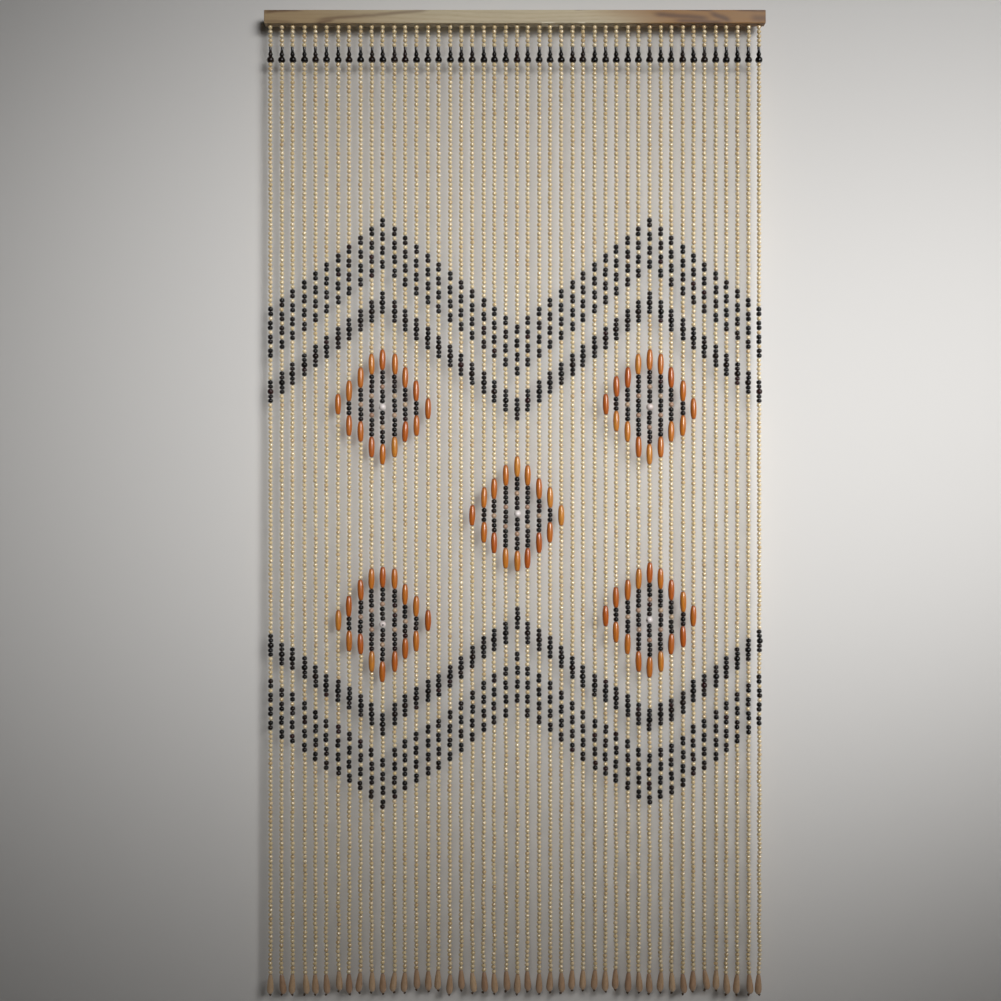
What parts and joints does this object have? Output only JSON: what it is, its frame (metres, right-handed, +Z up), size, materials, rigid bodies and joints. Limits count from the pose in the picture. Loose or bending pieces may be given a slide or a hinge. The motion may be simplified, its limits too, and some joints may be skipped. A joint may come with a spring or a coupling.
{
  "type": "bead curtain with head rail",
  "caption": "Doorway curtain of hanging wooden bead strands with dark zigzag bands and barrel-bead diamonds, threaded from a squared wooden head rail.",
  "frame": {"origin": "centre of the rail's back face, the face that lies against the wall", "axes": "+X along the rail to the right as seen from the front, +Y back into the wall, +Z up; the front faces -Y"},
  "size_m": [0.9, 0.02, 1.7676],
  "materials": {
    "rail_wood": "planed pine, oiled, fine grain with brown streaks",
    "natural_bead": "turned pale hardwood, clear satin lacquer",
    "dark_bead": "stained black-brown, glossy lacquer",
    "amber_bead": "stained amber brown, streaked, glossy lacquer",
    "tan_bead": "turned tan wood, clear satin lacquer",
    "white_bead": "bleached wood with a dark drilled eye, satin lacquer",
    "string": "twisted brown cord"
  },
  "bodies": {
    "root": {"rail": "rail_wood", "strands": "natural_bead"}
  },
  "joints": []
}
